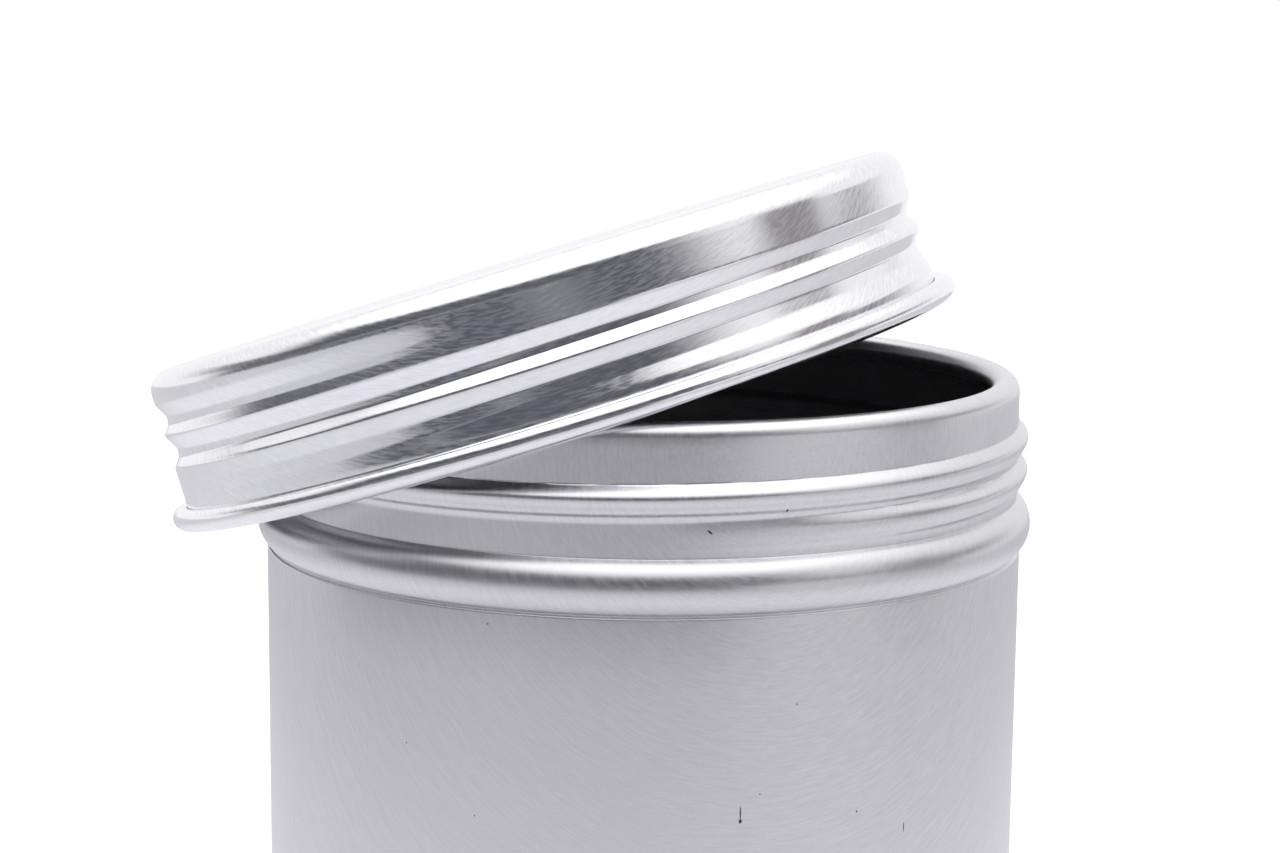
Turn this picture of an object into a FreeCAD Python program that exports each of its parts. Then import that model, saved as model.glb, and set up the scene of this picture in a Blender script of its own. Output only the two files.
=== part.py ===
"""A screw-top aluminium can of two drawn sheet pieces: the open can and its lid.

The can stands on its flat base.  A rounded shoulder bead lies round its body, the neck above the
bead carries a single rolled thread, and the sheet ends in a rim curled inward.  The lid is a
shallow cap with thread grooves pressed into its skirt and an outward curl along its lower edge.
It lies loose and askew on the open rim, its curl on the rim at two places.

Millimetres, +Z up, origin at the centre of the can's base.
"""
import FreeCAD
import Part
import math
import os

import Sketcher
from FreeCAD import Placement, Rotation, Vector

# Every driving size, written once: name, value and what it is.
SIZES = [
    ("sheet", 0.5, "thickness of the drawn sheet, in both pieces"),
    ("can_height", 100.0, "base to the top of the rim"),
    ("body_radius", 41.5, "outside of the can's straight wall"),
    ("base_corner", 3.0, "outside bend between base and wall"),
    ("bead_drop", 16.0, "rim top down to the middle of the shoulder bead"),
    ("bead_proud", 1.05, "how far the bead stands out from the wall"),
    ("bead_bend", 3.4, "bend along the crest of the bead"),
    ("groove_depth", 0.5, "groove under the bead, measured in from the wall"),
    ("groove_bend", 1.1, "bend along the bottom of that groove"),
    ("shoulder_bend", 1.2, "bend where the wall turns into the groove"),
    ("neck_inset", 0.5, "neck, measured in from the wall"),
    ("crease_bend", 0.7, "bend where the bead meets the neck"),
    ("rim_curl", 1.5, "radius of the rim's inward curl"),
    ("thread_pitch", 3.6, "rise of either thread in one turn"),
    ("thread_proud", 1.08, "crest of the can's thread, out from the neck"),
    ("thread_bend", 1.6, "radius across the crest of the can's thread"),
    ("thread_drop", 10.6, "rim top down to the can's thread where it is first full"),
    ("thread_start", -65.0, "direction from the axis to that place, in degrees"),
    ("thread_turns", 1.18, "turns of the can's thread at its full height"),
    ("thread_fade_in", 0.1, "turns over which its lower end sinks into the neck"),
    ("thread_fade_out", 0.03, "turns over which its upper end does"),
    ("lid_clearance", 0.37, "between the can's thread and the inside of the lid"),
    ("lid_depth", 16.0, "middle of the lid's curl up to the top of the lid"),
    ("lid_corner", 2.4, "outside bend between the lid's top and its skirt"),
    ("lid_curl", 1.2, "radius of the lid's outward curl"),
    ("press_depth", 0.9, "depth of the groove pressed into the lid's skirt"),
    ("press_bend", 1.25, "radius across the bottom of that groove"),
    ("press_rise", 4.75, "middle of the curl up to the groove where it is first full"),
    ("press_start", -80.0, "direction from the lid's axis to that place, in degrees"),
    ("press_turns", 1.89, "turns of the groove at its full depth"),
    ("press_fade", 0.1, "turns over which either end of it runs out"),
    ("lid_lean", 17.86, "tilt of the loose lid, in degrees"),
    ("lid_way", 167.7, "direction in which the lid leans and has slid, in degrees"),
    ("lid_slide", 9.23, "how far the middle of the lid's curl is off the can's axis"),
    ("seat_gap", 0.05, "between the lid and the rim where they meet"),
]

# Sizes that follow from those above, each with its formula.
DERIVED = [
    ("neck_radius", "=body_radius - neck_inset", "outside of the neck"),
    ("neck_inside", "=neck_radius - sheet", "inside of the neck"),
    ("bead_radius", "=body_radius + bead_proud", "crest of the bead"),
    ("bead_height", "=can_height - bead_drop", "middle of the bead"),
    ("groove_radius", "=body_radius - groove_depth", "bottom of the groove under the bead"),
    ("rim_height", "=can_height - rim_curl", "middle of the rim's curl"),
    ("rim_radius", "=neck_radius - rim_curl", "from the axis to that middle"),
    ("thread_radius", "=neck_radius + thread_proud - thread_bend", "middle of the thread's round"),
    ("thread_hollow", "=thread_bend - sheet", "the same round on the inside of the sheet"),
    ("thread_cut", "=neck_radius - sheet / 2", "middle of the neck's sheet"),
    ("thread_first", "=can_height - thread_drop", "height of the full thread's lower end"),
    ("thread_last", "=thread_first + thread_pitch * thread_turns", "height of its upper end"),
    ("thread_end", "=thread_start + 360 * thread_turns", "direction to its upper end"),
    ("lid_inside", "=neck_radius + thread_proud + lid_clearance", "inside of the lid's skirt"),
    ("lid_radius", "=lid_inside + sheet", "outside of the lid's skirt"),
    ("curl_radius", "=lid_inside + lid_curl", "from the lid's axis to the middle of its curl"),
    ("press_radius", "=lid_radius - press_depth + press_bend", "middle of the groove's round"),
    ("press_ridge", "=press_bend + sheet", "the same round on the inside of the sheet"),
    ("press_cut", "=lid_radius - sheet / 2", "middle of the skirt's sheet"),
    ("press_last", "=press_rise + thread_pitch * press_turns", "height of the groove's upper end"),
    ("press_end", "=press_start + 360 * press_turns", "direction to its upper end"),
]

FULL_TURN = 360.0
SEAT_STEPS = 720          # directions tried round a circle when the lid is seated
SEAT_PRECISION = 0.001
BY_PITCH = "pitch-turns-angle"
BY_GROWTH = "height-turns-growth"

# The two ends and the centre of a sketch's line or arc, and the sketch's own root point.
START = 1
END = 2
CENTRE = 3
ROOT = (-1, 1)
HEIGHT_AXIS = -2


def make_sizes(doc):
    """The spreadsheet with one named cell for each size."""
    sizes = doc.addObject("Spreadsheet::Sheet", "sizes")
    for row, (name, value, meaning) in enumerate(SIZES + DERIVED, start=1):
        sizes.set(f"A{row}", name)
        sizes.set(f"B{row}", str(value))
        sizes.set(f"C{row}", meaning)
        sizes.setAlias(f"B{row}", name)
    doc.recompute()
    return sizes


def add_body(doc, name):
    body = doc.addObject("PartDesign::Body", name)
    body.Label = name
    return body


def add_sketch(body, name, direction=None):
    """A sketch in a plane through the body's axis, which may be turned about it by a formula."""
    sketch = body.newObject("Sketcher::SketchObject", name)
    upright = [plane for plane in body.Origin.OriginFeatures if plane.Role == "XZ_Plane"]
    sketch.AttachmentSupport = [(upright[0], "")]
    sketch.MapMode = "FlatFace"
    if direction:
        sketch.AttachmentOffset = Placement(Vector(), Rotation(Vector(0, 1, 0), 1))
        sketch.setExpression("AttachmentOffset.Rotation.Angle", f"({direction}) * 1 deg")
    return sketch


def add_line(sketch, start, end):
    segment = Part.LineSegment(Vector(*start, 0), Vector(*end, 0))
    return sketch.addGeometry(segment, False)


def add_arc(sketch, centre, radius, start, end):
    """An arc that runs anticlockwise between two angles, both in radians."""
    circle = Part.Circle(Vector(*centre, 0), Vector(0, 0, 1), radius)
    return sketch.addGeometry(Part.ArcOfCircle(circle, start, end), False)


def tie(sketch, kind, *places):
    sketch.addConstraint(Sketcher.Constraint(kind, *places))


def drawn_value(sketch, kind, places):
    """What a radius or a distance measures in the sketch as it was drawn."""
    if kind == "Radius":
        return sketch.Geometry[places[0]].Radius
    start = sketch.getPoint(*places[:2])
    end = sketch.getPoint(*places[2:])
    return end.x - start.x if kind == "DistanceX" else end.y - start.y


def bind(sketch, kind, *places, formula):
    """A constraint with a value, which a formula on the named sizes gives."""
    value = drawn_value(sketch, kind, places)
    index = sketch.addConstraint(Sketcher.Constraint(kind, *places, value))
    sketch.setExpression(f"Constraints[{index}]", formula)


def place_centre(sketch, arc, radius=None, height=None):
    if radius:
        bind(sketch, "DistanceX", *ROOT, arc, CENTRE, formula=radius)
    if height:
        bind(sketch, "DistanceY", *ROOT, arc, CENTRE, formula=height)


def close_sheet(sketch, outside, inside):
    """Make one closed outline of a sheet's two sides, each a list of its lines and arcs in order.

    The sides start on the axis.  Their arcs share centres, so the sheet is as thick all along.
    """
    for near, far in ((outside[0], inside[0]), (outside[-1], inside[-1])):
        end = START if near == outside[0] else END
        first = sketch.getPoint(near, end)
        second = sketch.getPoint(far, end)
        edge = add_line(sketch, (first.x, first.y), (second.x, second.y))
        tie(sketch, "Coincident", edge, START, near, end)
        tie(sketch, "Coincident", edge, END, far, end)
    for near, far in zip(outside, inside):
        if sketch.Geometry[near].TypeId == "Part::GeomArcOfCircle":
            tie(sketch, "Coincident", near, CENTRE, far, CENTRE)


def can_side(sketch, size, depth):
    """One side of the can's sheet, at a depth under its outside, from the axis to the rim's edge."""
    bead_centre = (size.bead_radius - size.bead_bend, size.bead_height)
    groove_run = size.groove_radius + size.groove_bend - bead_centre[0]
    groove_angle = math.acos(groove_run / (size.groove_bend + size.bead_bend))
    groove_fall = groove_run * math.tan(groove_angle)
    groove_centre = (bead_centre[0] + groove_run, size.bead_height - groove_fall)
    shoulder_radius = size.body_radius - size.shoulder_bend
    shoulder_run = groove_centre[0] - shoulder_radius
    shoulder_angle = math.acos(shoulder_run / (size.shoulder_bend + size.groove_bend))
    shoulder_centre = (shoulder_radius, groove_centre[1] - shoulder_run * math.tan(shoulder_angle))
    crease_run = size.neck_radius + size.crease_bend - bead_centre[0]
    crease_angle = math.acos(crease_run / (size.crease_bend + size.bead_bend))
    crease_centre = (bead_centre[0] + crease_run, size.bead_height + crease_run * math.tan(crease_angle))
    corner_centre = (size.body_radius - size.base_corner, size.base_corner)
    wall = size.body_radius - depth
    neck = size.neck_radius - depth

    base_line = add_line(sketch, (0, depth), (corner_centre[0], depth))
    corner = add_arc(sketch, corner_centre, size.base_corner - depth, -math.pi / 2, 0)
    wall_line = add_line(sketch, (wall, size.base_corner), (wall, shoulder_centre[1]))
    shoulder = add_arc(sketch, shoulder_centre, size.shoulder_bend - depth, 0, shoulder_angle)
    groove = add_arc(sketch, groove_centre, size.groove_bend + depth,
                     math.pi - groove_angle, math.pi + shoulder_angle)
    bead = add_arc(sketch, bead_centre, size.bead_bend - depth, -groove_angle, crease_angle)
    crease = add_arc(sketch, crease_centre, size.crease_bend + depth, math.pi, math.pi + crease_angle)
    neck_line = add_line(sketch, (neck, crease_centre[1]), (neck, size.rim_height))
    curl = add_arc(sketch, (size.rim_radius, size.rim_height), size.rim_curl - depth,
                   0, 3 * math.pi / 2)

    tie(sketch, "Tangent", base_line, END, corner, START)
    tie(sketch, "Tangent", corner, END, wall_line, START)
    tie(sketch, "Tangent", wall_line, END, shoulder, START)
    tie(sketch, "Tangent", shoulder, END, groove, END)
    tie(sketch, "Tangent", groove, START, bead, START)
    tie(sketch, "Tangent", bead, END, crease, END)
    tie(sketch, "Tangent", crease, START, neck_line, START)
    tie(sketch, "Tangent", neck_line, END, curl, START)
    tie(sketch, "PointOnObject", base_line, START, HEIGHT_AXIS)
    tie(sketch, "Horizontal", base_line)
    tie(sketch, "Vertical", wall_line)
    tie(sketch, "Vertical", neck_line)
    tie(sketch, "Vertical", curl, CENTRE, curl, END)
    return [base_line, corner, wall_line, shoulder, groove, bead, crease, neck_line, curl]


def draw_can_sheet(body, size):
    """The can's sheet, cut along the axis: base, wall, groove, bead, neck and curled rim."""
    sketch = add_sketch(body, "can_outline")
    outside = can_side(sketch, size, 0)
    inside = can_side(sketch, size, size.sheet)
    close_sheet(sketch, outside, inside)
    base_line, corner, wall_line, shoulder, groove, bead, crease, neck_line, curl = outside
    tie(sketch, "PointOnObject", base_line, START, ROOT[0])
    bind(sketch, "DistanceY", *ROOT, inside[0], START, formula="sizes.sheet")
    bind(sketch, "DistanceX", *ROOT, wall_line, START, formula="sizes.body_radius")
    bind(sketch, "DistanceX", *ROOT, neck_line, START, formula="sizes.neck_radius")
    bind(sketch, "Radius", corner, formula="sizes.base_corner")
    bind(sketch, "Radius", shoulder, formula="sizes.shoulder_bend")
    bind(sketch, "Radius", groove, formula="sizes.groove_bend")
    bind(sketch, "Radius", bead, formula="sizes.bead_bend")
    bind(sketch, "Radius", crease, formula="sizes.crease_bend")
    bind(sketch, "Radius", curl, formula="sizes.rim_curl")
    place_centre(sketch, groove, radius="sizes.groove_radius + sizes.groove_bend")
    place_centre(sketch, bead, "sizes.bead_radius - sizes.bead_bend", "sizes.bead_height")
    place_centre(sketch, curl, height="sizes.rim_height")
    return sketch


def lid_side(sketch, size, depth):
    """One side of the lid's sheet, at a depth under its outside, from the axis to the curl's edge."""
    corner_centre = (size.lid_radius - size.lid_corner, size.lid_depth - size.lid_corner)
    skirt = size.lid_radius - depth
    top = size.lid_depth - depth
    top_line = add_line(sketch, (0, top), (corner_centre[0], top))
    corner = add_arc(sketch, corner_centre, size.lid_corner - depth, 0, math.pi / 2)
    skirt_line = add_line(sketch, (skirt, corner_centre[1]), (skirt, 0))
    curl = add_arc(sketch, (size.curl_radius, 0), size.lid_curl - size.sheet + depth,
                   math.pi, 5 * math.pi / 2)
    tie(sketch, "Tangent", top_line, END, corner, END)
    tie(sketch, "Tangent", corner, START, skirt_line, START)
    tie(sketch, "Tangent", skirt_line, END, curl, START)
    tie(sketch, "PointOnObject", top_line, START, HEIGHT_AXIS)
    tie(sketch, "Horizontal", top_line)
    tie(sketch, "Vertical", skirt_line)
    tie(sketch, "Vertical", curl, CENTRE, curl, END)
    return [top_line, corner, skirt_line, curl]


def draw_lid_sheet(body, size):
    """The lid's sheet, cut along its axis: flat top, skirt and outward curl."""
    sketch = add_sketch(body, "lid_outline")
    outside = lid_side(sketch, size, 0)
    inside = lid_side(sketch, size, size.sheet)
    close_sheet(sketch, outside, inside)
    top_line, corner, skirt_line, curl = outside
    bind(sketch, "DistanceY", *ROOT, top_line, START, formula="sizes.lid_depth")
    bind(sketch, "DistanceY", inside[0], START, top_line, START, formula="sizes.sheet")
    bind(sketch, "DistanceX", *ROOT, skirt_line, START, formula="sizes.lid_radius")
    bind(sketch, "Radius", corner, formula="sizes.lid_corner")
    bind(sketch, "Radius", inside[-1], formula="sizes.lid_curl")
    tie(sketch, "PointOnObject", curl, CENTRE, ROOT[0])
    return sketch


def revolve(body, name, kind, sketch):
    feature = body.newObject(f"PartDesign::{kind}", name)
    feature.Profile = sketch
    feature.ReferenceAxis = (sketch, ["V_Axis"])
    feature.Angle = FULL_TURN
    return feature


def draw_section(sketch, size, centre, bend, height, cut=None, outward=True):
    """The round section of a thread, or its part on one side of an upright cut."""
    middle = (getattr(size, centre), getattr(size, height))
    radius = getattr(size, bend)
    if cut:
        half = math.acos((getattr(size, cut) - middle[0]) / radius)
        reach = (-half, half) if outward else (half, 2 * math.pi - half)
        curve = add_arc(sketch, middle, radius, *reach)
        first = sketch.getPoint(curve, START)
        last = sketch.getPoint(curve, END)
        chord = add_line(sketch, (last.x, last.y), (first.x, first.y))
        tie(sketch, "Coincident", curve, END, chord, START)
        tie(sketch, "Coincident", chord, END, curve, START)
        tie(sketch, "Vertical", chord)
        bind(sketch, "DistanceX", *ROOT, chord, START, formula=f"sizes.{cut}")
    else:
        circle = Part.Circle(Vector(*middle, 0), Vector(0, 0, 1), radius)
        curve = sketch.addGeometry(circle, False)
    place_centre(sketch, curve, f"sizes.{centre}", f"sizes.{height}")
    bind(sketch, "Radius", curve, formula=f"sizes.{bend}")


def wind(body, sketch, name, kind, turns, sink=None, downward=False):
    """Sweep a section up or down along a helix, which may draw in or out by sink on its way."""
    helix = body.newObject(f"PartDesign::{kind}Helix", name)
    helix.Profile = sketch
    helix.ReferenceAxis = (sketch, ["V_Axis"])
    helix.Mode = BY_GROWTH if sink else BY_PITCH
    helix.LeftHanded = False
    helix.Reversed = downward
    helix.setExpression("Turns", turns)
    if sink:
        helix.setExpression("Height", f"sizes.thread_pitch * {turns} * 1 mm")
        helix.setExpression("Growth", f"{sink} / ({turns}) * 1 mm")
    else:
        helix.setExpression("Pitch", "sizes.thread_pitch * 1 mm")
    return helix


def roll_stretch(body, size, name, kind, round_section, place, turns, **path):
    """One stretch of a thread, from a place given by its height and its direction."""
    height, way = place
    sketch = add_sketch(body, f"{name}_section", f"sizes.{way}")
    draw_section(sketch, size, height=height, **round_section)
    body.Document.recompute()
    wind(body, sketch, name, kind, f"sizes.{turns}", **path)
    body.Document.recompute()


def fade_ends(body, size, name, kind, round_section, ends, fades, sink):
    """Let both ends of a thread sink into its wall, the lower end first."""
    for end, place, turns, downward in zip(("low", "high"), ends, fades, (True, False)):
        roll_stretch(body, size, f"{name}_{end}", kind, round_section, place, turns,
                     sink=sink, downward=downward)


def trim_band(body, name, edges):
    """Turn away all that stands in a band round the axis, given by its left, right, foot and top."""
    left, right, foot, top = edges
    sketch = add_sketch(body, f"{name}_outline")
    sides = [add_line(sketch, (0, 0), (1, 0)), add_line(sketch, (1, 0), (1, 1)),
             add_line(sketch, (1, 1), (0, 1)), add_line(sketch, (0, 1), (0, 0))]
    for side, following in zip(sides, sides[1:] + sides[:1]):
        tie(sketch, "Coincident", side, END, following, START)
    for side, direction in zip(sides, ("Horizontal", "Vertical") * 2):
        tie(sketch, direction, side)
    bind(sketch, "DistanceX", *ROOT, sides[0], START, formula=left)
    bind(sketch, "DistanceX", *ROOT, sides[1], START, formula=right)
    bind(sketch, "DistanceY", *ROOT, sides[0], START, formula=foot)
    bind(sketch, "DistanceY", *ROOT, sides[2], START, formula=top)
    body.Document.recompute()
    revolve(body, name, "Groove", sketch)
    body.Document.recompute()


def make_can(doc, size):
    """The open can: drawn sheet with a shoulder bead, a rolled thread and a curled rim.

    The thread is hollow behind, as rolled sheet is, except where its two ends fade.
    """
    body = add_body(doc, "can_body")
    sketch = draw_can_sheet(body, size)
    doc.recompute()
    revolve(body, "can_sheet", "Revolution", sketch)
    doc.recompute()
    ends = (("thread_first", "thread_start"), ("thread_last", "thread_end"))
    crest = {"centre": "thread_radius", "bend": "thread_bend", "cut": "thread_cut"}
    hollow = {"centre": "thread_radius", "bend": "thread_hollow"}
    roll_stretch(body, size, "crest", "Additive", crest, ends[0], "thread_turns")
    roll_stretch(body, size, "hollow", "Subtractive", hollow, ends[0], "thread_turns")
    fade_ends(body, size, "crest", "Additive", crest, ends, ("thread_fade_in", "thread_fade_out"),
              "-sizes.thread_proud")
    trim_band(body, "neck_inside", (
        "sizes.neck_inside - 2 * sizes.thread_bend", "sizes.neck_inside",
        "sizes.thread_first - 2 * sizes.thread_bend", "sizes.thread_last + sizes.thread_bend"))
    return body


def make_lid(doc, size):
    """The lid, in its own frame: flat top, skirt with a pressed groove, and outward curl."""
    body = add_body(doc, "lid")
    sketch = draw_lid_sheet(body, size)
    doc.recompute()
    revolve(body, "lid_sheet", "Revolution", sketch)
    doc.recompute()
    ends = (("press_rise", "press_start"), ("press_last", "press_end"))
    fades = ("press_fade", "press_fade")
    ridge = {"centre": "press_radius", "bend": "press_ridge", "cut": "press_cut", "outward": False}
    groove = {"centre": "press_radius", "bend": "press_bend"}
    for name, kind, section in (("ridge", "Additive", ridge), ("press", "Subtractive", groove)):
        roll_stretch(body, size, name, kind, section, ends[0], "press_turns")
        fade_ends(body, size, name, kind, section, ends, fades, "sizes.press_depth")
    trim_band(body, "skirt_outside", (
        "sizes.lid_radius", "sizes.lid_radius + 2 * sizes.press_bend",
        "sizes.lid_curl + sizes.sheet", "sizes.press_last + 2 * sizes.press_bend"))
    return body


def clearance(size, seat):
    """The smallest gap between the leaning lid and the rim, with the lid's curl at a height."""
    lean = math.radians(size.lid_lean)
    middle = Vector(size.lid_slide, 0, seat)
    uphill = Vector(-math.cos(lean), 0, math.sin(lean))
    axis = Vector(math.sin(lean), 0, math.cos(lean))
    gaps = []
    for step in range(SEAT_STEPS):
        angle = 2 * math.pi * step / SEAT_STEPS
        curl = middle + (uphill * math.cos(angle) + Vector(0, math.sin(angle), 0)) * size.curl_radius
        off_rim = math.hypot(math.hypot(curl.x, curl.y) - size.rim_radius, curl.z - size.rim_height)
        gaps.append(off_rim - size.rim_curl - size.lid_curl)
        rim = Vector(math.cos(angle) * size.rim_radius, math.sin(angle) * size.rim_radius,
                     size.rim_height)
        under_top = size.lid_depth - size.sheet - (rim - middle).dot(axis)
        gaps.append(under_top - size.rim_curl)
    return min(gaps)


def seat_height(size):
    """Lower the leaning lid from well above the rim until it comes to rest on it."""
    free = size.can_height + size.lid_depth + size.body_radius
    step = size.rim_curl / 4
    while clearance(size, free - step) > size.seat_gap:
        free -= step
    while step > SEAT_PRECISION:
        step /= 2
        if clearance(size, free - step) > size.seat_gap:
            free -= step
    return free


def lay_lid(sizes, lid):
    """Lean the lid and put it down on the rim, a little off the can's axis."""
    way = math.radians(sizes.lid_way)
    tilt = Rotation(Vector(-math.sin(way), math.cos(way), 0), sizes.lid_lean)
    lid.Placement = Placement(Vector(0, 0, seat_height(sizes)), tilt)
    lid.setExpression("Placement.Base.x", "sizes.lid_slide * cos(sizes.lid_way * 1 deg) * 1 mm")
    lid.setExpression("Placement.Base.y", "sizes.lid_slide * sin(sizes.lid_way * 1 deg) * 1 mm")
    lid.setExpression("Placement.Rotation.Angle", "sizes.lid_lean * 1 deg")


def check(doc, bodies):
    """Stop if anything in the document failed, or if a piece isn't one sound solid."""
    for thing in doc.Objects:
        if "Invalid" in thing.State or "Error" in thing.State:
            raise RuntimeError(f"{thing.Label} failed: {thing.State}")
    for body in bodies:
        shape = body.Shape
        if shape.isNull() or not shape.isValid() or len(shape.Solids) != 1:
            raise RuntimeError(f"{body.Label} isn't one sound solid")


def main():
    doc = FreeCAD.newDocument("screw_top_can")
    sizes = make_sizes(doc)
    can = make_can(doc, sizes)
    lid = make_lid(doc, sizes)
    lay_lid(sizes, lid)
    doc.recompute()
    check(doc, (can, lid))
    os.makedirs("parts", exist_ok=True)
    for body in (can, lid):
        body.Shape.exportStep(f"parts/{body.Label}.step")
        box = body.Shape.optimalBoundingBox()
        print(body.Label, "volume", round(body.Shape.Volume, 1),
              "x", round(box.XMin, 2), round(box.XMax, 2),
              "y", round(box.YMin, 2), round(box.YMax, 2),
              "z", round(box.ZMin, 2), round(box.ZMax, 2))


main()
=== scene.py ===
"""A screw-top aluminium can with its lid lying askew on the rim, finished for rendering."""
import math

import bpy
from mathutils import Matrix, Vector


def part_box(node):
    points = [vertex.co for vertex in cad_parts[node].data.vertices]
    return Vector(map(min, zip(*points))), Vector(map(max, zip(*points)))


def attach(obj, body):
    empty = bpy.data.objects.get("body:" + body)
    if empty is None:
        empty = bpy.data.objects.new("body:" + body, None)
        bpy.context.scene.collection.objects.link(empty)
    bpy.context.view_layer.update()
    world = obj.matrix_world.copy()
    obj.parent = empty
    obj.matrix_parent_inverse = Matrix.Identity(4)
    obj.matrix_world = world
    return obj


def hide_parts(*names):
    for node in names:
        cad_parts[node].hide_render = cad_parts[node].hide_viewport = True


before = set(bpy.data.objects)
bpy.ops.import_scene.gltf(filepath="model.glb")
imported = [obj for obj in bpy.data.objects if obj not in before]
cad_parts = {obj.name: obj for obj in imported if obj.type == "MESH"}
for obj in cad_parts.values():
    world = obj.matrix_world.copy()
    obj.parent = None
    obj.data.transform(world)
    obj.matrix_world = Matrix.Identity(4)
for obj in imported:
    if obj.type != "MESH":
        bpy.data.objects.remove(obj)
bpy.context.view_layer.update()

MM = 0.001
TURN = 2 * math.pi

# The can, from its frame.
CAN_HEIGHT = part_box("can_body")[1].z
SHEET = 0.5 * MM
BODY_RADIUS = 41.5 * MM
BASE_CORNER = 3.0 * MM
BEAD_RADIUS = BODY_RADIUS + 1.05 * MM
BEAD_BEND = 3.4 * MM
BEAD_HEIGHT = CAN_HEIGHT - 16.0 * MM
GROOVE_RADIUS = BODY_RADIUS - 0.2 * MM
GROOVE_BEND = 0.12 * MM
SHOULDER_BEND = 0.3 * MM
NECK_RADIUS = BODY_RADIUS - 0.5 * MM
CREASE_BEND = 0.15 * MM
RIM_CURL = 1.5 * MM
RIM_HEIGHT = CAN_HEIGHT - RIM_CURL
RIM_END = 0.8 * TURN

# The rolled thread of the can: its crest stands proud between a blunt head above and a long foot
# below with a small step in it.
THREAD_PITCH = 3.6 * MM
THREAD_PROUD = 1.08 * MM
THREAD_HEAD = 1.35 * MM
THREAD_FOOT = 2.5 * MM
THREAD_FIRST = CAN_HEIGHT - 10.2 * MM
STEP_HEIGHT = 0.07
STEP_DROP = 1.4 * MM
STEP_REACH = 0.42 * MM
THREAD_START = math.radians(-25)
THREAD_TURNS = 1.068
THREAD_SPARE = 0.3 * MM
THREAD_TOP = THREAD_FIRST + THREAD_PITCH * THREAD_TURNS + THREAD_HEAD + THREAD_SPARE
THREAD_LEAD_IN = math.radians(65)
THREAD_LEAD_OUT = math.radians(8)

# The groove pressed into the lid, of the same pitch: a flank above, a nearly flat bottom, and a
# flank below.  The long values are those of its first turn, and fade over to the others.
PRESS_DEPTH = 0.95 * MM
PRESS_ABOVE = 1.65 * MM
PRESS_FLAT = 0.85 * MM
PRESS_BELOW = 1.12 * MM
PRESS_BELOW_LONG = 1.9 * MM
PRESS_FLAT_LONG = 1.4 * MM
PRESS_SLOPE_LONG = 0.2
PRESS_LONG_TO = math.radians(150)
PRESS_LONG_FADE = math.radians(90)
PRESS_SLOPE = 0.06
PRESS_ROUND = 0.10
CREASE_REACH = 0.12 * MM
PRESS_FIRST = 5.26 * MM
PRESS_START = math.radians(-29)
PRESS_TURNS = 1.58
PRESS_LEAD_IN = math.radians(128)
PRESS_LEAD_OUT = math.radians(90)

# The lid, in its own frame, whose middle is the middle of its curl.
LID_RADIUS = 42.95 * MM
LID_DEPTH = 16.0 * MM
LID_CORNER = 2.4 * MM
LID_CURL = 1.2 * MM
CURL_RADIUS = LID_RADIUS - SHEET + LID_CURL
CURL_END = 0.345 * TURN
SKIRT_FOOT = 1.8 * MM
LID_LEAN = math.radians(17.86)
LID_WAY = math.radians(167.7)
LID_SLIDE = 9.23 * MM

# How finely the pieces are drawn: points round each ring, and steps along the profiles.
SEGMENTS = 224
BASE_CORNER_STEPS = 10
WALL_STEPS = 12
SMALL_BEND_STEPS = 6
GROOVE_STEPS = 12
BEAD_STEPS = 20
NECK_STEPS = 4
THREAD_STEPS = 84
RIM_STEPS = 24
LID_CORNER_STEPS = 12
SKIRT_STEPS = 118
SKIRT_FOOT_STEPS = 6
CURL_STEPS = 26
SMOOTH_UP_TO = math.radians(40)

# A face counts as level where its normal's height is above this.
LEVEL_FROM = 0.9

# The tent that the metal mirrors, and fields of other brightness in it.  Each field gives its
# lowest and highest angle above the horizon and the softness of those edges, its left and right
# limit as seen from the object towards the camera and the softness of those, all in degrees, and
# its colour.  A later field covers the earlier ones.
TENT_COLOUR = (1.0, 1.0, 1.02)
ROOM_FIELDS = (
    (45, 100, 30, -400, 400, 1, (1.6, 1.6, 1.62)),
    (3, 14, 4, -118, 125, 40, (0.24, 0.24, 0.26)),
    (4, 37, 5, -84, 46, 36, (0.12, 0.12, 0.14)),
    (-60, 26, 10, 74, 98, 12, (0.32, 0.30, 0.31)),
    (-60, 5, 3, -104, -20, 24, (0.16, 0.16, 0.18)),
    (-60, 5, 3, -50, 30, 20, (0.12, 0.12, 0.14)),
    (3.5, 6, 1.5, -60, 40, 10, (0.45, 0.45, 0.48)),
)

# The lamp: a square softbox above the object, in metres.
LAMP_HEIGHT = 0.6
LAMP_SIZE = 0.8
LAMP_RADIANCE = 0.2

# The table: its tone near the object and far from it, a painted falloff of light that is lighter
# near the object and painted shade far off, and the light added for the camera's view of it near
# and far, each with the distances from the origin in metres between which it changes.
TABLE_SIZE = 1.5
TABLE_CENTRE = (0.13, 0.08, 0)
TABLE_NEAR_PAINTED_LIGHT = (0.79, 0.78, 0.81, 1)
TABLE_FAR_PAINTED_SHADE = (0.55, 0.55, 0.57, 1)
TABLE_PAINTED_FALLOFF_REACH = (0.08, 0.36)
TABLE_LIFT = (0.15, 0.75)
TABLE_LIFT_REACH = (0.08, 0.34)
TABLE_ROUGHNESS = 0.9

# The camera: its sensor and lens in millimetres, its place in shares of the can's radius, and its
# turns in degrees.
SENSOR_WIDTH = 36
LENS = 71.4
CAMERA_DISTANCE = 6.6935
CAMERA_ASIDE = -0.0225
CAMERA_ABOVE_RIM = 0.9382
CAMERA_YAW = -0.09
CAMERA_DOWN = 9.05
CAMERA_ROLL = 0.56

# The finishes: colour, roughness where smooth and where dull, and depth of the brushing.
CAN_COLOUR = (0.68, 0.68, 0.70)
CAN_ROUGHNESS = (0.29, 0.36)
CAN_RELIEF = 0.0015 * MM
LID_COLOUR = (0.85, 0.85, 0.87)
LID_ROUGHNESS = (0.12, 0.21)
LID_RELIEF = 0.001 * MM
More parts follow.
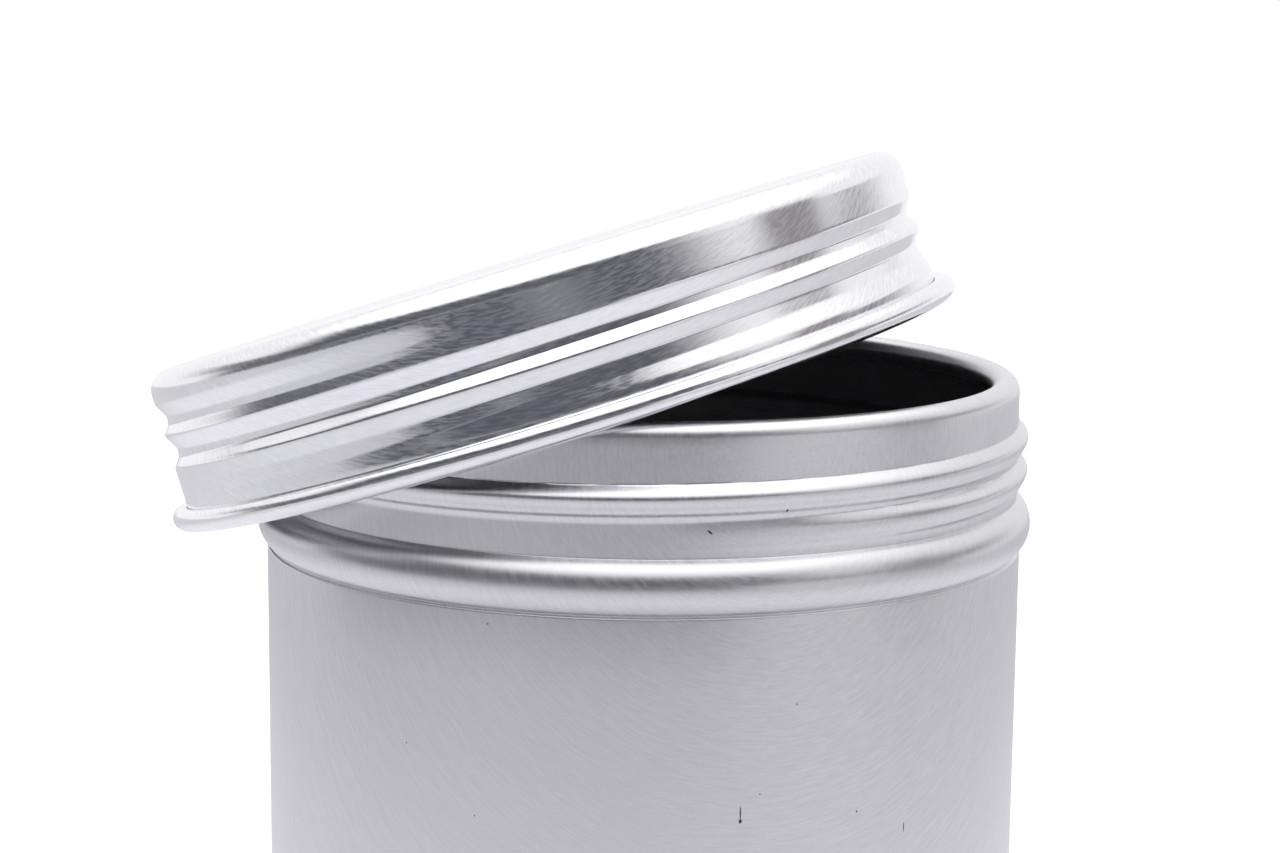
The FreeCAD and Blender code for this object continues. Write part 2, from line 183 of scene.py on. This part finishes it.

# The can's inside, painted dark grey: its roughness changes in fine bands round the can, between
# two levels of a noise.
INSIDE_COLOUR = (0.26, 0.26, 0.27, 1)
INSIDE_ROUGHNESS = (0.35, 0.5)
INSIDE_BANDS = (5, 5, 400)
INSIDE_EDGES = (0.3, 0.7)

# Brushing: strokes that run round one place on the sheet, the spot where the highlight lies as the
# camera sees it, and the width and length in millimetres of each set of them. There the strokes
# copy the arcs in which scratches glint round a highlight, so the brighter and darker tone of the
# strokes is partly the brushing's own tone and partly painted glint. The sets fan out by a few
# degrees. The edges are the levels of the noise between which a stroke goes from dark to bright,
# and between which the sheet goes from smooth to dull, with a broad cloud added.
CAN_STROKE_CENTRE_AT_HIGHLIGHT = (-53.0, 97.0)
CAN_STROKES = ((0.20, 3.2), (0.27, 4.6), (0.22, 2.2), (0.34, 7.0))
LID_STROKE_CENTRE_AT_HIGHLIGHT = (-60.0, 60.0)
LID_STROKES = ((0.18, 1.1), (0.24, 1.7), (0.30, 0.9))
STROKE_FAN = 4
STROKE_FAN_START = -6
STROKE_SET_OFFSET = 7
STROKE_EDGES = (0.38, 0.62)
# How much brighter or darker the strokes are painted: partly their own tone, partly painted glint.
STROKE_TONE_AND_GLINT = 0.05
CLOUD_SCALE = 0.06
DRIFT_EDGES = (0.6, 1.4)

# Small dark spots painted on the can: the direction from its axis in degrees, the height in
# millimetres, the way they run in degrees, and their width and length in millimetres. The core is
# the share of each that is fully dark.
DARK_SPOTS = (
    (-76.7, 61.7, 0, 0.18, 1.9),
    (-76.7, 60.9, 0, 0.42, 0.60),
    (-50.6, 57.8, 0, 0.18, 1.3),
    (-59.2, 60.5, 0, 0.24, 0.30),
    (-68.9, 72.2, 0, 0.20, 0.24),
    (-74.0, 63.5, 0, 0.18, 0.22),
    (-81.3, 89.5, -50, 0.26, 0.80),
    (-70.8, 91.4, 10, 0.26, 0.42),
    (-124.3, 66.7, 0, 0.20, 0.24),
    (-113.3, 60.5, 0, 0.18, 0.24),
    (-111.3, 79.9, 0, 0.20, 0.22),
)
DARK_SPOT_COLOUR = (0.05, 0.05, 0.06, 1)
DARK_SPOT_CORE = 0.5


# ---------------------------------------------------------------- modelling

def bend(centre, radius, start, end, steps):
    """Points along a round bend, from one angle to another, each a radius and a height."""
    points = []
    for step in range(steps + 1):
        angle = start + (end - start) * step / steps
        points.append((centre[0] + radius * math.cos(angle), centre[1] + radius * math.sin(angle)))
    return points


def climb(radius, bottom, top, steps):
    """Points up or down a straight wall, without its first one."""
    return [(radius, bottom + (top - bottom) * step / steps) for step in range(1, steps + 1)]


def draw_turned_piece(name, profile):
    """A turned sheet, drawn ring by ring from a filled disc outwards along its profile."""
    bpy.ops.object.select_all(action="DESELECT")
    radius, height = profile[0]
    bpy.ops.mesh.primitive_circle_add(vertices=SEGMENTS, radius=radius, fill_type="TRIFAN",
                                      location=(0, 0, height))
    piece = bpy.context.object
    piece.name = name
    piece.data.name = name
    bpy.ops.object.transform_apply(location=True, rotation=True, scale=True)
    bpy.ops.object.mode_set(mode="EDIT")
    bpy.ops.mesh.select_mode(type="EDGE")
    bpy.ops.mesh.select_all(action="DESELECT")
    bpy.ops.mesh.select_non_manifold(extend=False, use_wire=False, use_boundary=True,
                                     use_multi_face=False, use_non_contiguous=False,
                                     use_verts=False)
    for next_radius, next_height in profile[1:]:
        rise = (0, 0, next_height - height)
        grow = next_radius / radius
        bpy.ops.mesh.extrude_region_move(TRANSFORM_OT_translate={"value": rise})
        bpy.ops.transform.resize(value=(grow, grow, 1), center_override=(0, 0, next_height))
        radius, height = next_radius, next_height
    bpy.ops.mesh.select_all(action="SELECT")
    bpy.ops.mesh.remove_doubles(threshold=SHEET / 1000)
    bpy.ops.mesh.normals_make_consistent(inside=False)
    bpy.ops.object.mode_set(mode="OBJECT")
    return piece


def face_outwards(piece, wall_height):
    """Turn the sheet's faces round if those of its wall look at the axis."""
    wall = min(piece.data.polygons, key=lambda face: abs(face.center.z - wall_height))
    outward = Vector((wall.center.x, wall.center.y, 0))
    if wall.normal.dot(outward) < 0:
        bpy.ops.object.mode_set(mode="EDIT")
        bpy.ops.mesh.select_all(action="SELECT")
        bpy.ops.mesh.flip_normals()
        bpy.ops.object.mode_set(mode="OBJECT")


def ease(share):
    """A share from 0 to 1, with a soft start and a soft end."""
    share = min(max(share, 0), 1)
    return share * share * (3 - 2 * share)


def rolled_section(rise, along):
    """Height of the can's thread beside its crest, from 0 to 1, the same all along."""
    if rise < 0:
        beside_step = min(abs(rise + STEP_DROP) / STEP_REACH, 1)
        step = STEP_HEIGHT * (1 + math.cos(math.pi * beside_step)) / 2
        return (1 + math.cos(math.pi * max(rise / THREAD_FOOT, -1))) / 2 + step
    return math.cos(math.pi / 2 * min(rise / THREAD_HEAD, 1))


def pressed_section(rise, along):
    """Depth of the lid's groove beside its upper corner, from 0 to 1, its creases a little rounded.

    Its flat and its lower flank are long in the first turn, where no other turn lies below it.
    """
    share = ease((along - PRESS_LONG_TO) / PRESS_LONG_FADE)
    shape = (PRESS_FLAT_LONG + (PRESS_FLAT - PRESS_FLAT_LONG) * share,
             PRESS_SLOPE_LONG + (PRESS_SLOPE - PRESS_SLOPE_LONG) * share,
             PRESS_BELOW_LONG + (PRESS_BELOW - PRESS_BELOW_LONG) * share)
    near = sharp_section(rise - CREASE_REACH, *shape) + sharp_section(rise + CREASE_REACH, *shape)
    return (near + 2 * sharp_section(rise, *shape)) / 4


def sharp_section(rise, flat, slope, below):
    """The same with sharp creases: a flank, a nearly flat bottom, and a flank that fades out."""
    if rise > 0:
        share = 1 - rise / PRESS_ABOVE
    elif rise > -flat:
        share = 1 + slope * rise / flat
    else:
        share = (1 - slope) * (1 + (rise + flat) / below)
    if share > 2 * PRESS_ROUND:
        return share - PRESS_ROUND
    return max(share, 0) ** 2 / (4 * PRESS_ROUND)


def thread_share(angle, height, start, first, turns, section, fade_in, fade_out):
    """How far a thread stands at a place on its wall, from 0 to 1.

    It passes each direction once a turn, and where two passes overlap the higher one counts.
    """
    total = 0
    length = turns * TURN
    along = (angle - start) % TURN - TURN
    while along < length + fade_out:
        if along > -fade_in:
            rise = height - first - THREAD_PITCH * along / TURN
            fade = ease(1 + along / fade_in) * ease(1 - (along - length) / fade_out)
            total = max(total, section(rise, along) * fade)
        along += TURN
    return total


def press(piece, amount, share_at):
    """Push the sheet out, or in if the amount is negative, by a share of it at each point."""
    group = piece.vertex_groups.new(name="thread")
    for vertex in piece.data.vertices:
        place = vertex.co
        share = share_at(math.hypot(place.x, place.y), math.atan2(place.y, place.x), place.z)
        if share > 0:
            group.add([vertex.index], share, "REPLACE")
    shift = piece.modifiers.new("thread", "DISPLACE")
    shift.direction = "NORMAL"
    shift.mid_level = 0
    shift.strength = amount
    shift.vertex_group = group.name
    apply_modifier(piece, shift)
    piece.vertex_groups.clear()


def apply_modifier(piece, modifier):
    """Turn a modifier's result into the piece's own mesh."""
    bpy.context.view_layer.objects.active = piece
    bpy.ops.object.modifier_apply(modifier=modifier.name)


def thicken(piece, outside, inside):
    """Give the drawn skin the thickness of its sheet, inwards, and each side its own finish."""
    piece.data.materials.append(outside)
    piece.data.materials.append(inside)
    wall = piece.modifiers.new("sheet", "SOLIDIFY")
    wall.thickness = SHEET
    wall.offset = -1
    wall.use_even_offset = True
    wall.material_offset = 1
    apply_modifier(piece, wall)


def unroll(piece):
    """A UV map in millimetres: round the wall and along it, or flat across the ends."""
    layer = piece.data.uv_layers.new(name="unrolled")
    for face in piece.data.polygons:
        middle = math.atan2(face.center.y, face.center.x)
        far = math.hypot(face.center.x, face.center.y)
        level = abs(face.normal.z) > LEVEL_FROM and far < GROOVE_RADIUS
        for loop in face.loop_indices:
            place = piece.data.vertices[piece.data.loops[loop].vertex_index].co
            if level:
                layer.data[loop].uv = (place.x / MM, place.y / MM)
                continue
            angle = math.atan2(place.y, place.x)
            angle += TURN * round((middle - angle) / TURN)
            layer.data[loop].uv = (angle * BODY_RADIUS / MM, place.z / MM)


def finish_piece(piece, node):
    """Smooth the piece, put it on the body, and hide the solid it stands for."""
    bpy.ops.object.select_all(action="DESELECT")
    piece.select_set(True)
    bpy.context.view_layer.objects.active = piece
    bpy.ops.object.shade_smooth_by_angle(angle=SMOOTH_UP_TO)
    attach(piece, "root")
    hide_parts(node)


def can_profile():
    """The can's outside, from the edge of its flat base up and round the rim's curl."""
    bead_centre = (BEAD_RADIUS - BEAD_BEND, BEAD_HEIGHT)
    groove_run = GROOVE_RADIUS + GROOVE_BEND - bead_centre[0]
    groove_angle = math.acos(groove_run / (GROOVE_BEND + BEAD_BEND))
    groove_centre = (bead_centre[0] + groove_run, BEAD_HEIGHT - groove_run * math.tan(groove_angle))
    shoulder_radius = BODY_RADIUS - SHOULDER_BEND
    shoulder_run = groove_centre[0] - shoulder_radius
    shoulder_angle = math.acos(shoulder_run / (SHOULDER_BEND + GROOVE_BEND))
    shoulder_centre = (shoulder_radius, groove_centre[1] - shoulder_run * math.tan(shoulder_angle))
    crease_run = NECK_RADIUS + CREASE_BEND - bead_centre[0]
    crease_angle = math.acos(crease_run / (CREASE_BEND + BEAD_BEND))
    crease_centre = (bead_centre[0] + crease_run, BEAD_HEIGHT + crease_run * math.tan(crease_angle))
    corner_centre = (BODY_RADIUS - BASE_CORNER, BASE_CORNER)
    thread_foot = THREAD_FIRST - THREAD_FOOT
    profile = bend(corner_centre, BASE_CORNER, -TURN / 4, 0, BASE_CORNER_STEPS)
    profile += climb(BODY_RADIUS, BASE_CORNER, shoulder_centre[1], WALL_STEPS)
    profile += bend(shoulder_centre, SHOULDER_BEND, 0, shoulder_angle, SMALL_BEND_STEPS)[1:]
    profile += bend(groove_centre, GROOVE_BEND,
                    TURN / 2 + shoulder_angle, TURN / 2 - groove_angle, GROOVE_STEPS)[1:]
    profile += bend(bead_centre, BEAD_BEND, -groove_angle, crease_angle, BEAD_STEPS)[1:]
    profile += bend(crease_centre, CREASE_BEND,
                    TURN / 2 + crease_angle, TURN / 2, SMALL_BEND_STEPS)[1:]
    profile += climb(NECK_RADIUS, crease_centre[1], thread_foot, NECK_STEPS)
    profile += climb(NECK_RADIUS, thread_foot, THREAD_TOP, THREAD_STEPS)
    profile += climb(NECK_RADIUS, THREAD_TOP, RIM_HEIGHT, NECK_STEPS)
    profile += bend((NECK_RADIUS - RIM_CURL, RIM_HEIGHT), RIM_CURL, 0, RIM_END, RIM_STEPS)[1:]
    return profile


def make_can(outside, inside):
    """The open can, drawn, with its thread rolled into the neck."""
    piece = draw_turned_piece("can_sheet", can_profile())
    face_outwards(piece, CAN_HEIGHT / 2)

    def share_at(radius, angle, height):
        if radius < NECK_RADIUS - SHEET or height > RIM_HEIGHT or height < BEAD_HEIGHT:
            return 0
        return thread_share(angle, height, THREAD_START, THREAD_FIRST, THREAD_TURNS,
                            rolled_section, THREAD_LEAD_IN, THREAD_LEAD_OUT)

    press(piece, THREAD_PROUD, share_at)
    thicken(piece, outside, inside)
    unroll(piece)
    finish_piece(piece, "can_body")


def lid_profile():
    """The lid's outside, from the edge of its flat top down its skirt and round its curl."""
    corner_centre = (LID_RADIUS - LID_CORNER, LID_DEPTH - LID_CORNER)
    profile = bend(corner_centre, LID_CORNER, TURN / 4, 0, LID_CORNER_STEPS)
    profile += climb(LID_RADIUS, corner_centre[1], SKIRT_FOOT, SKIRT_STEPS)
    profile += climb(LID_RADIUS, SKIRT_FOOT, 0, SKIRT_FOOT_STEPS)
    profile += bend((CURL_RADIUS, 0), LID_CURL - SHEET, -TURN / 2, CURL_END, CURL_STEPS)[1:]
    return profile


def lay_on_rim(piece):
    """Lean the finished lid and put it down on the rim, with its place kept in its mesh."""
    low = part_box("lid")[0].z
    rise = low + CURL_RADIUS * math.sin(LID_LEAN) + LID_CURL
    place = (LID_SLIDE * math.cos(LID_WAY), LID_SLIDE * math.sin(LID_WAY), rise)
    hinge = Vector((-math.sin(LID_WAY), math.cos(LID_WAY), 0))
    piece.matrix_world = Matrix.Translation(place) @ Matrix.Rotation(LID_LEAN, 4, hinge)
    bpy.ops.object.select_all(action="DESELECT")
    piece.select_set(True)
    bpy.context.view_layer.objects.active = piece
    bpy.ops.object.transform_apply(location=True, rotation=True, scale=True)


def make_lid(outside, inside):
    """The lid, drawn, with its groove pressed into the skirt, laid on the rim."""
    piece = draw_turned_piece("lid_sheet", lid_profile())
    face_outwards(piece, LID_DEPTH / 2)

    def share_at(radius, angle, height):
        on_skirt = LID_CURL <= height <= LID_DEPTH - LID_CORNER / 2
        if radius > LID_RADIUS + SHEET / 10 or not on_skirt:
            return 0
        return thread_share(angle, height, PRESS_START, PRESS_FIRST, PRESS_TURNS,
                            pressed_section, PRESS_LEAD_IN, PRESS_LEAD_OUT)

    press(piece, -PRESS_DEPTH, share_at)
    thicken(piece, outside, inside)
    unroll(piece)
    lay_on_rim(piece)
    finish_piece(piece, "lid")


# ---------------------------------------------------------------- finishes

def mathematics(nodes, operation, first, second=None):
    """The output of a Math node that is fed by sockets or plain values."""
    node = nodes.new("ShaderNodeMath")
    node.operation = operation
    tree = node.id_data
    for socket, value in zip(node.inputs, (first, second)):
        if value is None:
            continue
        if hasattr(value, "is_linked"):
            tree.links.new(value, socket)
        else:
            socket.default_value = value
    return node.outputs[0]


def ramp(nodes, value, low, high, to_low=0.0, to_high=1.0):
    """A smooth change between two values while the input goes from low to high."""
    node = nodes.new("ShaderNodeMapRange")
    node.interpolation_type = "SMOOTHSTEP"
    node.inputs["From Min"].default_value = low
    node.inputs["From Max"].default_value = high
    node.inputs["To Min"].default_value = to_low
    node.inputs["To Max"].default_value = to_high
    node.id_data.links.new(value, node.inputs["Value"])
    return node.outputs["Result"]


def make_brushing_and_glint_group(name, centre, stroke_sets):
    """Fine brushed strokes round one place on a sheet, the highlight's spot, from its UV map in
    millimetres; their arcs there are partly painted glint.
    """
    group = bpy.data.node_groups.new(name, "ShaderNodeTree")
    group.interface.new_socket(name="Vector", in_out="INPUT", socket_type="NodeSocketVector")
    group.interface.new_socket(name="Strokes", in_out="OUTPUT", socket_type="NodeSocketFloat")
    group.interface.new_socket(name="Cloud", in_out="OUTPUT", socket_type="NodeSocketFloat")
    nodes, links = group.nodes, group.links
    entry = nodes.new("NodeGroupInput")
    leave = nodes.new("NodeGroupOutput")
    away = nodes.new("ShaderNodeVectorMath")
    away.operation = "SUBTRACT"
    away.inputs[1].default_value = (*centre, 0)
    length = nodes.new("ShaderNodeVectorMath")
    length.operation = "LENGTH"
    split = nodes.new("ShaderNodeSeparateXYZ")
    links.new(entry.outputs["Vector"], away.inputs[0])
    links.new(away.outputs["Vector"], length.inputs[0])
    links.new(away.outputs["Vector"], split.inputs[0])
    turn = mathematics(nodes, "ARCTAN2", split.outputs["X"], split.outputs["Y"])
    along = mathematics(nodes, "MULTIPLY", turn, BODY_RADIUS / MM)
    around = nodes.new("ShaderNodeCombineXYZ")
    links.new(length.outputs["Value"], around.inputs["X"])
    links.new(along, around.inputs["Y"])
    total = None
    for number, (width, stroke_length) in enumerate(stroke_sets):
        drawn = nodes.new("ShaderNodeMapping")
        fan = math.radians(STROKE_FAN * number + STROKE_FAN_START)
        drawn.inputs["Location"].default_value = (0, 0, STROKE_SET_OFFSET * number)
        drawn.inputs["Rotation"].default_value = (0, 0, fan)
        drawn.inputs["Scale"].default_value = (1 / width, 1 / stroke_length, 1)
        noise = nodes.new("ShaderNodeTexNoise")
        noise.inputs["Scale"].default_value = 1
        noise.inputs["Detail"].default_value = 1
        links.new(around.outputs["Vector"], drawn.inputs["Vector"])
        links.new(drawn.outputs["Vector"], noise.inputs["Vector"])
        set_value = noise.outputs["Fac"]
        total = set_value if total is None else mathematics(nodes, "ADD", total, set_value)
    mean = mathematics(nodes, "DIVIDE", total, len(stroke_sets))
    cloud = nodes.new("ShaderNodeTexNoise")
    cloud.inputs["Scale"].default_value = CLOUD_SCALE
    cloud.inputs["Detail"].default_value = 3
    links.new(entry.outputs["Vector"], cloud.inputs["Vector"])
    links.new(ramp(nodes, mean, *STROKE_EDGES), leave.inputs["Strokes"])
    links.new(cloud.outputs["Fac"], leave.inputs["Cloud"])
    return group


def dark_spot_mask(nodes, vector):
    """1 in the painted dark spots and 0 beside them."""
    mask = None
    for way, height, turn, width, length in DARK_SPOTS:
        place = nodes.new("ShaderNodeVectorMath")
        place.operation = "SUBTRACT"
        place.inputs[1].default_value = (math.radians(way) * BODY_RADIUS / MM, height, 0)
        turned = nodes.new("ShaderNodeVectorRotate")
        turned.rotation_type = "Z_AXIS"
        turned.inputs["Angle"].default_value = math.radians(turn)
        sized = nodes.new("ShaderNodeVectorMath")
        sized.operation = "MULTIPLY"
        sized.inputs[1].default_value = (2 / width, 2 / length, 0)
        far = nodes.new("ShaderNodeVectorMath")
        far.operation = "LENGTH"
        links = place.id_data.links
        links.new(vector, place.inputs[0])
        links.new(place.outputs["Vector"], turned.inputs["Vector"])
        links.new(turned.outputs["Vector"], sized.inputs[0])
        links.new(sized.outputs["Vector"], far.inputs[0])
        spot = ramp(nodes, far.outputs["Value"], DARK_SPOT_CORE, 1.0, 1.0, 0.0)
        mask = spot if mask is None else mathematics(nodes, "MAXIMUM", mask, spot)
    return mask


def make_aluminium(name, brushing, colour, roughness, relief, spotted=False):
    """Drawn aluminium sheet, lightly brushed: each stroke is a little brighter or darker, in arcs
    round the highlight's spot, so the strokes' tone is partly painted glint.
    """
    material = bpy.data.materials.new(name)
    material.use_nodes = True
    nodes, links = material.node_tree.nodes, material.node_tree.links
    shader = nodes["Principled BSDF"]
    shader.inputs["Metallic"].default_value = 1
    unrolled = nodes.new("ShaderNodeUVMap")
    unrolled.uv_map = "unrolled"
    marks = nodes.new("ShaderNodeGroup")
    marks.node_tree = brushing
    links.new(unrolled.outputs["UV"], marks.inputs["Vector"])
    # Partly painted glint: the strokes round the highlight's spot are painted a little brighter or
    # darker.
    tone = nodes.new("ShaderNodeMix")
    tone.data_type = "RGBA"
    tone.inputs["A"].default_value = (*(part * (1 - STROKE_TONE_AND_GLINT) for part in colour), 1)
    tone.inputs["B"].default_value = (*(part * (1 + STROKE_TONE_AND_GLINT) for part in colour), 1)
    links.new(marks.outputs["Strokes"], tone.inputs["Factor"])
    painted = tone.outputs["Result"]
    # Small dark spots painted into the colour of the can.
    if spotted:
        dark_spot_mix = nodes.new("ShaderNodeMix")
        dark_spot_mix.data_type = "RGBA"
        dark_spot_mix.inputs["B"].default_value = DARK_SPOT_COLOUR
        links.new(painted, dark_spot_mix.inputs["A"])
        links.new(dark_spot_mask(nodes, unrolled.outputs["UV"]), dark_spot_mix.inputs["Factor"])
        painted = dark_spot_mix.outputs["Result"]
    links.new(painted, shader.inputs["Base Color"])
    drift = mathematics(nodes, "ADD", marks.outputs["Cloud"], marks.outputs["Strokes"])
    links.new(ramp(nodes, drift, *DRIFT_EDGES, *roughness), shader.inputs["Roughness"])
    bump = nodes.new("ShaderNodeBump")
    bump.inputs["Strength"].default_value = 1
    bump.inputs["Distance"].default_value = relief
    links.new(marks.outputs["Strokes"], bump.inputs["Height"])
    links.new(bump.outputs["Normal"], shader.inputs["Normal"])
    return material


def make_inside_finish():
    """The dark grey satin finish painted on the inside of the can."""
    material = bpy.data.materials.new("dark_inside")
    material.use_nodes = True
    nodes, links = material.node_tree.nodes, material.node_tree.links
    shader = nodes["Principled BSDF"]
    shader.inputs["Base Color"].default_value = INSIDE_COLOUR
    place = nodes.new("ShaderNodeTexCoord")
    bands = nodes.new("ShaderNodeMapping")
    bands.inputs["Scale"].default_value = INSIDE_BANDS
    noise = nodes.new("ShaderNodeTexNoise")
    noise.inputs["Scale"].default_value = 1
    links.new(place.outputs["Object"], bands.inputs["Vector"])
    links.new(bands.outputs["Vector"], noise.inputs["Vector"])
    links.new(ramp(nodes, noise.outputs["Fac"], *INSIDE_EDGES, *INSIDE_ROUGHNESS),
              shader.inputs["Roughness"])
    return material


# ---------------------------------------------------------------- studio

def make_world():
    """A white tent, open low down on the camera's side, where a dim room shows."""
    world = bpy.data.worlds.new("studio")
    bpy.context.scene.world = world
    world.use_nodes = True
    nodes, links = world.node_tree.nodes, world.node_tree.links
    nodes.clear()
    output = nodes.new("ShaderNodeOutputWorld")
    shown = nodes.new("ShaderNodeBackground")
    shown.inputs["Color"].default_value = (1, 1, 1, 1)
    room = nodes.new("ShaderNodeBackground")
    choose = nodes.new("ShaderNodeMixShader")
    path = nodes.new("ShaderNodeLightPath")
    place = nodes.new("ShaderNodeTexCoord")
    split = nodes.new("ShaderNodeSeparateXYZ")
    links.new(place.outputs["Generated"], split.inputs[0])
    towards = mathematics(nodes, "MULTIPLY", split.outputs["Y"], -1.0)
    way = mathematics(nodes, "ARCTAN2", split.outputs["X"], towards)
    height = mathematics(nodes, "ARCSINE", split.outputs["Z"])
    colour = None
    for low, high, level_soft, left, right, side_soft, shade in ROOM_FIELDS:
        field = mathematics(nodes, "MULTIPLY", stretch(nodes, height, low, high, level_soft),
                            stretch(nodes, way, left, right, side_soft))
        mix = nodes.new("ShaderNodeMix")
        mix.data_type = "RGBA"
        mix.inputs["B"].default_value = (*shade, 1)
        links.new(field, mix.inputs["Factor"])
        if colour is None:
            mix.inputs["A"].default_value = (*TENT_COLOUR, 1)
        else:
            links.new(colour, mix.inputs["A"])
        colour = mix.outputs["Result"]
    links.new(colour, room.inputs["Color"])
    links.new(path.outputs["Is Camera Ray"], choose.inputs["Fac"])
    links.new(room.outputs[0], choose.inputs[1])
    links.new(shown.outputs[0], choose.inputs[2])
    links.new(choose.outputs[0], output.inputs["Surface"])


def stretch(nodes, value, low, high, soft):
    """1 where an angle lies between two limits in degrees, with soft edges, and 0 elsewhere."""
    low, high, soft = math.radians(low), math.radians(high), math.radians(soft)
    rise = ramp(nodes, value, low - soft / 2, low + soft / 2)
    fall = ramp(nodes, value, high - soft / 2, high + soft / 2, 1.0, 0.0)
    return mathematics(nodes, "MULTIPLY", rise, fall)


def make_lamp():
    """A square softbox of even brightness that shines down, hidden from the camera."""
    data = bpy.data.lights.new("softbox_above", "AREA")
    data.shape = "SQUARE"
    data.size = LAMP_SIZE
    data.energy = LAMP_RADIANCE * math.pi * LAMP_SIZE * LAMP_SIZE
    lamp = bpy.data.objects.new("softbox_above", data)
    bpy.context.scene.collection.objects.link(lamp)
    lamp.location = (0, 0, LAMP_HEIGHT)
    lamp.visible_camera = False


def make_floor():
    """A pale table whose colour is painted darker far off, a painted falloff of the softbox's
    light, and that shows to the camera as white with the object's shadow.
    """
    bpy.ops.object.select_all(action="DESELECT")
    bpy.ops.mesh.primitive_plane_add(size=TABLE_SIZE, location=TABLE_CENTRE)
    floor = bpy.context.object
    bpy.ops.object.transform_apply(location=True, rotation=True, scale=True)
    floor.name = "floor"
    material = bpy.data.materials.new("white_table")
    material.use_nodes = True
    nodes, links = material.node_tree.nodes, material.node_tree.links
    shader = nodes["Principled BSDF"]
    shader.inputs["Roughness"].default_value = TABLE_ROUGHNESS
    shader.inputs["Emission Color"].default_value = (1, 1, 1, 1)
    place = nodes.new("ShaderNodeTexCoord")
    length = nodes.new("ShaderNodeVectorMath")
    length.operation = "LENGTH"
    path = nodes.new("ShaderNodeLightPath")
    links.new(place.outputs["Object"], length.inputs[0])
    # Painted falloff of light: the table's colour is painted lighter near the object and darker far
    # off.
    table = nodes.new("ShaderNodeMix")
    table.data_type = "RGBA"
    table.inputs["A"].default_value = TABLE_NEAR_PAINTED_LIGHT
    table.inputs["B"].default_value = TABLE_FAR_PAINTED_SHADE
    links.new(ramp(nodes, length.outputs["Value"], *TABLE_PAINTED_FALLOFF_REACH), table.inputs["Factor"])
    links.new(table.outputs["Result"], shader.inputs["Base Color"])
    lift = ramp(nodes, length.outputs["Value"], *TABLE_LIFT_REACH, *TABLE_LIFT)
    links.new(mathematics(nodes, "MULTIPLY", lift, path.outputs["Is Camera Ray"]),
              shader.inputs["Emission Strength"])
    floor.data.materials.append(material)


def make_camera():
    """The camera, in front of the can and a little above its rim."""
    camera = bpy.data.objects.new("camera", bpy.data.cameras.new("camera"))
    bpy.context.scene.collection.objects.link(camera)
    camera.data.sensor_width = SENSOR_WIDTH
    camera.data.lens = LENS
    distance = CAMERA_DISTANCE * BODY_RADIUS
    aside = CAMERA_ASIDE * BODY_RADIUS
    above_rim = CAMERA_ABOVE_RIM * BODY_RADIUS
    place = Matrix.Translation((aside, -distance, RIM_HEIGHT + above_rim))
    yaw = Matrix.Rotation(math.radians(CAMERA_YAW), 4, "Z")
    pitch = Matrix.Rotation(math.radians(90 - CAMERA_DOWN), 4, "X")
    roll = Matrix.Rotation(math.radians(CAMERA_ROLL), 4, "Z")
    camera.matrix_world = place @ yaw @ pitch @ roll
    bpy.context.scene.camera = camera


bpy.context.scene.view_settings.view_transform = "Standard"
can_brushing_and_glint = make_brushing_and_glint_group("can_brushing_and_glint", CAN_STROKE_CENTRE_AT_HIGHLIGHT, CAN_STROKES)
lid_brushing_and_glint = make_brushing_and_glint_group("lid_brushing_and_glint", LID_STROKE_CENTRE_AT_HIGHLIGHT, LID_STROKES)
can_finish = make_aluminium("can_aluminium", can_brushing_and_glint, CAN_COLOUR, CAN_ROUGHNESS,
                            CAN_RELIEF, spotted=True)
lid_finish = make_aluminium("lid_aluminium", lid_brushing_and_glint, LID_COLOUR, LID_ROUGHNESS,
                            LID_RELIEF)
make_can(can_finish, make_inside_finish())
make_lid(lid_finish, lid_finish)
make_world()
make_lamp()
make_floor()
make_camera()
